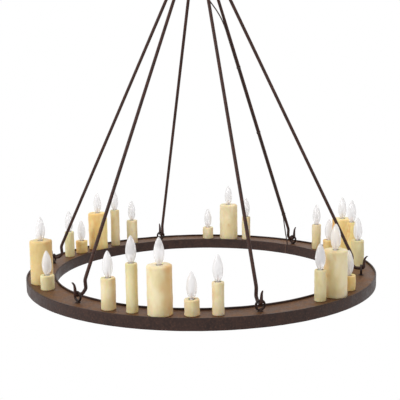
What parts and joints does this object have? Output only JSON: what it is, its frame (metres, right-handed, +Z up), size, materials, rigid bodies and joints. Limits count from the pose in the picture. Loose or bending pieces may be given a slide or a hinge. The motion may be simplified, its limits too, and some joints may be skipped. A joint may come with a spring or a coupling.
{
  "type": "wagon wheel chandelier",
  "caption": "Flat iron ring hung by hooked rods and a short chain from a ceiling canopy, carrying cast candle covers in clusters with clear torpedo bulbs.",
  "frame": {"origin": "centre of the two ceiling screws, on the mounting strap's top face, which bears on the ceiling", "axes": "+Z up out of the ceiling mount, +X along the mounting strap and towards the first rod, +Y across the strap; the light hangs below the origin"},
  "size_m": [1.219, 1.2192, 1.2821],
  "materials": {
    "forged_iron": "dark rust-brown hammered powder coat on iron, lighter where rubbed",
    "plain_steel": "zinc plated steel, slightly yellow",
    "black_rubber": "matt black rubber",
    "lead_sheath": "dark brown vinyl sheath",
    "lead_tie": "dark nylon band",
    "phenolic": "dark moulded phenolic",
    "cast_wax": "cast wax-like resin, ivory with amber streaks, softly polished",
    "clear_glass": "clear blown lamp glass"
  },
  "bodies": {
    "ceiling_mount": {"canopy": "forged_iron", "mounting_strap": "plain_steel", "hanger_nipple": "plain_steel", "collar_ring": "forged_iron", "canopy_loop": "forged_iron", "canopy_bush": "black_rubber", "chain_lead": "lead_sheath"},
    "top_link": {"chain_link_top": "forged_iron"},
    "middle_link": {"chain_link_middle": "forged_iron"},
    "bottom_link": {"chain_link_bottom": "forged_iron"},
    "chandelier": {"hub_plate": "forged_iron", "hub_eye_bolt": "forged_iron", "eye_bolt_nuts": "plain_steel", "hook_rod_1": "forged_iron", "hook_rod_2": "forged_iron", "hook_rod_3": "forged_iron", "hook_rod_4": "forged_iron", "hook_rod_5": "forged_iron", "hook_rod_6": "forged_iron", "ring_eyes": "forged_iron", "outer_band": "forged_iron", "inner_band": "forged_iron", "tray_plate": "forged_iron", "wireway_cover": "forged_iron", "cover_fixings": "plain_steel", "supply_lead": "lead_sheath", "lead_ties": "lead_tie", "lead_grommets": "black_rubber", "wiring_loop": "lead_sheath", "lamp_holders": "phenolic", "holder_stems": "plain_steel", "pillar_covers": "cast_wax", "tall_covers": "cast_wax", "medium_covers": "cast_wax", "slim_covers": "cast_wax", "short_covers": "cast_wax"},
    "bulb_01": {"bulb_01": "clear_glass"},
    "bulb_02": {"bulb_02": "clear_glass"},
    "bulb_03": {"bulb_03": "clear_glass"},
    "bulb_04": {"bulb_04": "clear_glass"},
    "bulb_05": {"bulb_05": "clear_glass"},
    "bulb_06": {"bulb_06": "clear_glass"},
    "bulb_07": {"bulb_07": "clear_glass"},
    "bulb_08": {"bulb_08": "clear_glass"},
    "bulb_09": {"bulb_09": "clear_glass"},
    "bulb_10": {"bulb_10": "clear_glass"},
    "bulb_11": {"bulb_11": "clear_glass"},
    "bulb_12": {"bulb_12": "clear_glass"},
    "bulb_13": {"bulb_13": "clear_glass"},
    "bulb_14": {"bulb_14": "clear_glass"},
    "bulb_15": {"bulb_15": "clear_glass"},
    "bulb_16": {"bulb_16": "clear_glass"},
    "bulb_17": {"bulb_17": "clear_glass"},
    "bulb_18": {"bulb_18": "clear_glass"},
    "bulb_19": {"bulb_19": "clear_glass"},
    "bulb_20": {"bulb_20": "clear_glass"},
    "bulb_21": {"bulb_21": "clear_glass"},
    "bulb_22": {"bulb_22": "clear_glass"},
    "bulb_23": {"bulb_23": "clear_glass"},
    "bulb_24": {"bulb_24": "clear_glass"}
  },
  "joints": [
    {"name": "top_link_swing", "type": "hinge", "parent": "ceiling_mount", "child": "top_link", "pos_m": [0, 0, -0.073], "axis": [1, 0, 0], "range_deg": [-20, 20], "deforming": ["chain_lead"]},
    {"name": "middle_link_swing", "type": "hinge", "parent": "top_link", "child": "middle_link", "pos_m": [0, 0, -0.1142], "axis": [0, 1, 0], "range_deg": [-20, 20]},
    {"name": "bottom_link_swing", "type": "hinge", "parent": "middle_link", "child": "bottom_link", "pos_m": [0, 0, -0.1559], "axis": [1, 0, 0], "range_deg": [-20, 20]},
    {"name": "chandelier_swing", "type": "hinge", "parent": "bottom_link", "child": "chandelier", "pos_m": [0, 0, -0.1976], "axis": [0, 1, 0], "range_deg": [-20, 20]},
    {"name": "bulb_01_turn", "type": "hinge", "parent": "chandelier", "child": "bulb_01", "pos_m": [0.54448, 0.1257, -1.154], "axis": [0, 0, 1], "range_deg": [0, 1080]},
    {"name": "bulb_02_turn", "type": "hinge", "parent": "chandelier", "child": "bulb_02", "pos_m": [0.52098, 0.20208, -1.103], "axis": [0, 0, 1], "range_deg": [0, 1080]},
    {"name": "bulb_03_turn", "type": "hinge", "parent": "chandelier", "child": "bulb_03", "pos_m": [0.48394, 0.2794, -1.104], "axis": [0, 0, 1], "range_deg": [0, 1080]},
    {"name": "bulb_04_turn", "type": "hinge", "parent": "chandelier", "child": "bulb_04", "pos_m": [0.43118, 0.35544, -1.202], "axis": [0, 0, 1], "range_deg": [0, 1080]},
    {"name": "bulb_05_turn", "type": "hinge", "parent": "chandelier", "child": "bulb_05", "pos_m": [0.37967, 0.41001, -1.153], "axis": [0, 0, 1], "range_deg": [0, 1080]},
    {"name": "bulb_06_turn", "type": "hinge", "parent": "chandelier", "child": "bulb_06", "pos_m": [0.07584, 0.55363, -1.153], "axis": [0, 0, 1], "range_deg": [0, 1080]},
    {"name": "bulb_07_turn", "type": "hinge", "parent": "chandelier", "child": "bulb_07", "pos_m": [0, 0.5588, -1.104], "axis": [0, 0, 1], "range_deg": [0, 1080]},
    {"name": "bulb_08_turn", "type": "hinge", "parent": "chandelier", "child": "bulb_08", "pos_m": [-0.08838, 0.55177, -1.202], "axis": [0, 0, 1], "range_deg": [0, 1080]},
    {"name": "bulb_09_turn", "type": "hinge", "parent": "chandelier", "child": "bulb_09", "pos_m": [-0.3811, 0.40868, -1.154], "axis": [0, 0, 1], "range_deg": [0, 1080]},
    {"name": "bulb_10_turn", "type": "hinge", "parent": "chandelier", "child": "bulb_10", "pos_m": [-0.43549, 0.35015, -1.103], "axis": [0, 0, 1], "range_deg": [0, 1080]},
    {"name": "bulb_11_turn", "type": "hinge", "parent": "chandelier", "child": "bulb_11", "pos_m": [-0.48394, 0.2794, -1.104], "axis": [0, 0, 1], "range_deg": [0, 1080]},
    {"name": "bulb_12_turn", "type": "hinge", "parent": "chandelier", "child": "bulb_12", "pos_m": [-0.52341, 0.1957, -1.202], "axis": [0, 0, 1], "range_deg": [0, 1080]},
    {"name": "bulb_13_turn", "type": "hinge", "parent": "chandelier", "child": "bulb_13", "pos_m": [-0.54491, 0.1238, -1.153], "axis": [0, 0, 1], "range_deg": [0, 1080]},
    {"name": "bulb_14_turn", "type": "hinge", "parent": "chandelier", "child": "bulb_14", "pos_m": [-0.51738, -0.21114, -1.153], "axis": [0, 0, 1], "range_deg": [0, 1080]},
    {"name": "bulb_15_turn", "type": "hinge", "parent": "chandelier", "child": "bulb_15", "pos_m": [-0.48394, -0.2794, -1.104], "axis": [0, 0, 1], "range_deg": [0, 1080]},
    {"name": "bulb_16_turn", "type": "hinge", "parent": "chandelier", "child": "bulb_16", "pos_m": [-0.43366, -0.35242, -1.202], "axis": [0, 0, 1], "range_deg": [0, 1080]},
    {"name": "bulb_17_turn", "type": "hinge", "parent": "chandelier", "child": "bulb_17", "pos_m": [-0.16338, -0.53438, -1.154], "axis": [0, 0, 1], "range_deg": [0, 1080]},
    {"name": "bulb_18_turn", "type": "hinge", "parent": "chandelier", "child": "bulb_18", "pos_m": [-0.08549, -0.55222, -1.103], "axis": [0, 0, 1], "range_deg": [0, 1080]},
    {"name": "bulb_19_turn", "type": "hinge", "parent": "chandelier", "child": "bulb_19", "pos_m": [0, -0.5588, -1.104], "axis": [0, 0, 1], "range_deg": [0, 1080]},
    {"name": "bulb_20_turn", "type": "hinge", "parent": "chandelier", "child": "bulb_20", "pos_m": [0.09223, -0.55114, -1.202], "axis": [0, 0, 1], "range_deg": [0, 1080]},
    {"name": "bulb_21_turn", "type": "hinge", "parent": "chandelier", "child": "bulb_21", "pos_m": [0.16524, -0.53381, -1.153], "axis": [0, 0, 1], "range_deg": [0, 1080]},
    {"name": "bulb_22_turn", "type": "hinge", "parent": "chandelier", "child": "bulb_22", "pos_m": [0.44154, -0.34249, -1.153], "axis": [0, 0, 1], "range_deg": [0, 1080]},
    {"name": "bulb_23_turn", "type": "hinge", "parent": "chandelier", "child": "bulb_23", "pos_m": [0.48394, -0.2794, -1.104], "axis": [0, 0, 1], "range_deg": [0, 1080]},
    {"name": "bulb_24_turn", "type": "hinge", "parent": "chandelier", "child": "bulb_24", "pos_m": [0.52203, -0.19934, -1.202], "axis": [0, 0, 1], "range_deg": [0, 1080]}
  ]
}
